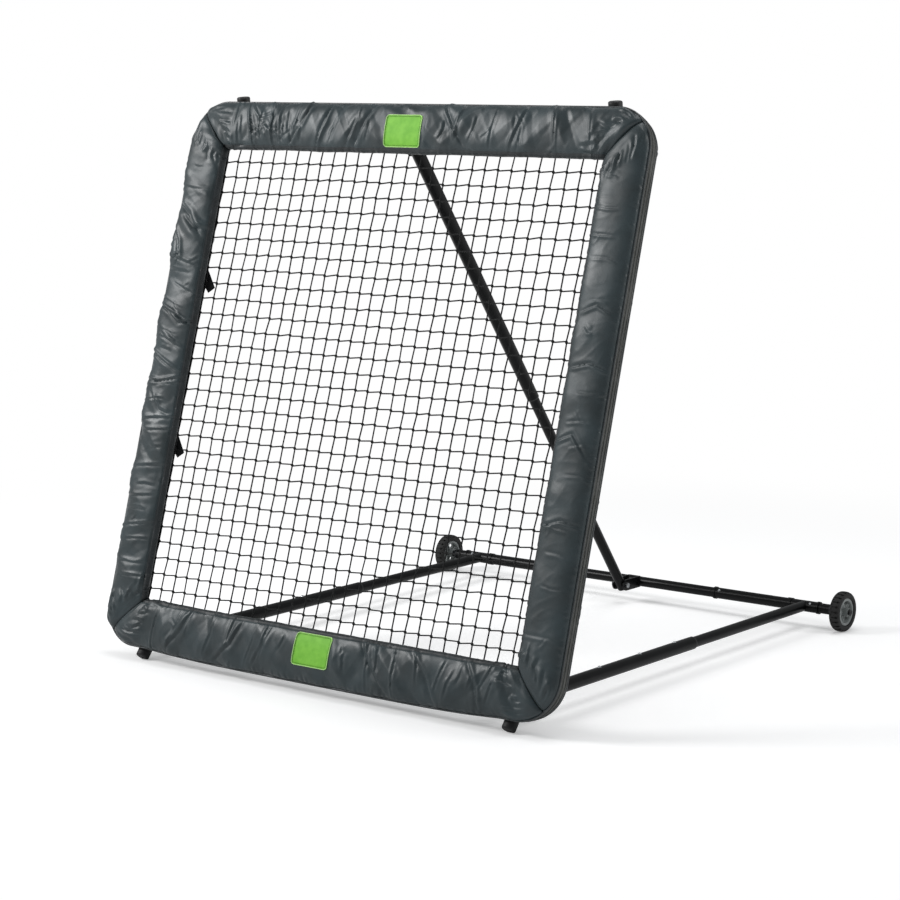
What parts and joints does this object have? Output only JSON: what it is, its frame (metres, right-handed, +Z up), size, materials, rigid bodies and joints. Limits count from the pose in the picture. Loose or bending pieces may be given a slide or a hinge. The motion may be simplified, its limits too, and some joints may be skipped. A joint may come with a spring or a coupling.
{
  "type": "pitch back rebounder",
  "caption": "Freestanding pitch back rebounder: a square padded frame with a knotted ball net, reclining on a low wheeled base with a telescopic rear strut.",
  "frame": {"origin": "on the floor, under the middle of the whole machine's footprint", "axes": "+Z up, the net faces -Y, the wheels are at +Y, +X to the right when looking along +Y"},
  "size_m": [1.652, 1.6766, 1.6342],
  "materials": {
    "tube": "satin black powder coat",
    "cover": "dark grey coated cover over foam",
    "label": "green woven patch",
    "net_cord": "black braided cord",
    "elastic": "black elastic band",
    "foot_rubber": "matte black rubber",
    "plastic": "moulded black plastic",
    "zinc": "zinc plated",
    "axle_steel": "dark steel",
    "tyre": "matte black lugged tyre",
    "rim": "moulded grey plastic"
  },
  "bodies": {
    "base": {"side_tube_front_left": "tube", "side_tube_front_right": "tube", "side_tube_rear_left": "tube", "side_tube_rear_right": "tube", "cross_tube": "tube", "cross_sleeve_left": "tube", "cross_sleeve_right": "tube", "strut_clevis": "tube", "side_liner_left": "plastic", "side_liner_right": "plastic", "side_cap_left": "plastic", "side_cap_right": "plastic", "pivot_bolt_left": "zinc", "pivot_bolt_right": "zinc", "pivot_washers": "zinc", "pivot_nuts": "zinc", "clevis_bolt": "zinc", "clevis_nut": "zinc", "base_screws": "zinc", "axle_left": "axle_steel", "axle_right": "axle_steel", "axle_nuts": "plastic"},
    "frame": {"frame_tube_top": "tube", "frame_tube_bottom": "tube", "frame_tube_left": "tube", "frame_tube_right": "tube", "frame_corner_bottom_left": "tube", "frame_corner_bottom_right": "tube", "frame_corner_top_left": "tube", "frame_corner_top_right": "tube", "leg_bottom_left": "tube", "leg_bottom_right": "tube", "leg_top_left": "tube", "leg_top_right": "tube", "strut_bracket": "tube", "foot_left": "foot_rubber", "foot_right": "foot_rubber", "leg_cap_left": "plastic", "leg_cap_right": "plastic", "pad_top": "cover", "pad_bottom": "cover", "pad_left": "cover", "pad_right": "cover", "label_top": "label", "label_bottom": "label", "net": "net_cord", "net_loops": "elastic", "strut_top_bolt": "zinc", "strut_top_nut": "zinc", "frame_screws": "zinc"},
    "wheel_left": {"tyre_left": "tyre", "rim_left": "rim"},
    "wheel_right": {"tyre_right": "tyre", "rim_right": "rim"},
    "strut_lower": {"strut_lower": "tube", "strut_end_plug": "plastic"},
    "strut_upper": {"strut_upper": "tube", "strut_bush": "plastic"},
    "lock_button": {"strut_button": "zinc"}
  },
  "joints": [
    {"name": "frame_tilt", "type": "hinge", "parent": "base", "child": "frame", "pos_m": [0, -0.77524, 0.0625], "axis": [-1, 0, 0], "range_deg": [0, 32]},
    {"name": "strut_swing", "type": "hinge", "parent": "base", "child": "strut_lower", "pos_m": [0, 0.69576, 0.0625], "axis": [-1, 0, 0], "range_deg": [0, 16.5]},
    {"name": "strut_slide", "type": "slide", "parent": "strut_lower", "child": "strut_upper", "axis": [0, 0.5948, -0.8039], "range_m": [0, 0.722]},
    {"name": "wheel_left_spin", "type": "hinge", "parent": "base", "child": "wheel_left", "pos_m": [-0.769, 0.77576, 0.0625], "axis": [1, 0, 0], "continuous": true},
    {"name": "wheel_right_spin", "type": "hinge", "parent": "base", "child": "wheel_right", "pos_m": [0.769, 0.77576, 0.0625], "axis": [1, 0, 0], "continuous": true},
    {"name": "button_press", "type": "slide", "parent": "strut_upper", "child": "lock_button", "axis": [0, -0.8039, -0.5948], "range_m": [0, 0.004], "stiffness_N_per_m": 800, "springref_m": -0.001}
  ],
  "couplings": [
    {"joint": "strut_swing", "follows": "frame_tilt", "ratio": 0.513},
    {"joint": "strut_slide", "follows": "frame_tilt", "m_per_rad": 1.2907}
  ]
}
